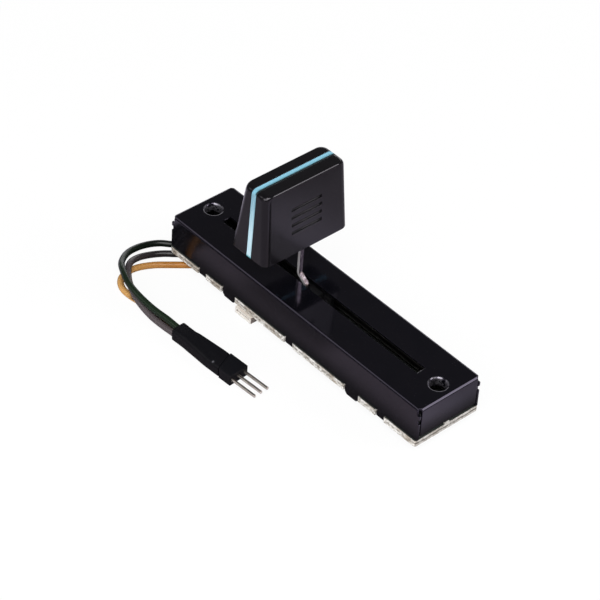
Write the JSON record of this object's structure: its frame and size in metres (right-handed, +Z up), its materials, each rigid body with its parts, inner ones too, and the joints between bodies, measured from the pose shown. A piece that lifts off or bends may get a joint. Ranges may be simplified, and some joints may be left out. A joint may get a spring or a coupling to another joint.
{
  "type": "slide potentiometer",
  "caption": "Slide potentiometer in a folded black metal case, with a wide striped knob on a bent stem and a plug on short wires.",
  "frame": {"origin": "under the middle of the case, on the surface that the four board pegs stand on", "axes": "+X along the slot, away from the wires' end; +Z up, out of the slot towards the knob; the plug lies on the -Y side"},
  "size_m": [0.0657, 0.0292, 0.0291],
  "materials": {
    "black_paint": "gloss black stoved paint",
    "board_epoxy": "bare glass-epoxy with a sawn edge",
    "browned_steel": "ground, browned and oiled",
    "stem_nickel": "bright nickel plate",
    "dark_acetal": "moulded, satin",
    "stop_rubber": "moulded, matt",
    "spring_bronze": "rolled strip",
    "carbon_ink": "printed carbon",
    "silver_ink": "printed silver",
    "knob_black": "satin moulding",
    "knob_blue": "satin moulding",
    "cream_plastic": "moulded, satin",
    "tin_plate": "bright tin",
    "plug_black": "moulded, matt",
    "sleeve_black": "shrunk tube, satin",
    "wire_green_skin": "soft insulation",
    "wire_grey_skin": "soft insulation",
    "wire_orange_skin": "soft insulation"
  },
  "bodies": {
    "housing": {"case_cover": "black_paint", "circuit_board": "board_epoxy", "resistive_track": "carbon_ink", "collector_track": "silver_ink", "guide_rod_front": "browned_steel", "guide_rod_rear": "browned_steel", "rod_holder_left": "dark_acetal", "rod_holder_right": "dark_acetal", "bumper_front_left": "stop_rubber", "bumper_front_right": "stop_rubber", "bumper_rear_left": "stop_rubber", "bumper_rear_right": "stop_rubber", "side_socket": "cream_plastic", "solder_green": "tin_plate", "solder_grey": "tin_plate", "solder_orange": "tin_plate", "wire_green": "wire_green_skin", "wire_grey": "wire_grey_skin", "wire_orange": "wire_orange_skin", "plug_sleeve": "sleeve_black", "plug_block": "plug_black", "pin_front": "tin_plate", "pin_middle": "tin_plate", "pin_rear": "tin_plate"},
    "slider": {"carriage": "dark_acetal", "stem": "stem_nickel", "wiper_front": "spring_bronze", "wiper_rear": "spring_bronze", "knob_front_half": "knob_black", "knob_rear_half": "knob_black", "knob_stripe": "knob_blue"}
  },
  "joints": [
    {"name": "knob_slide", "type": "slide", "parent": "housing", "child": "slider", "axis": [1, 0, 0], "range_m": [-0.0185, 0.0265]}
  ]
}
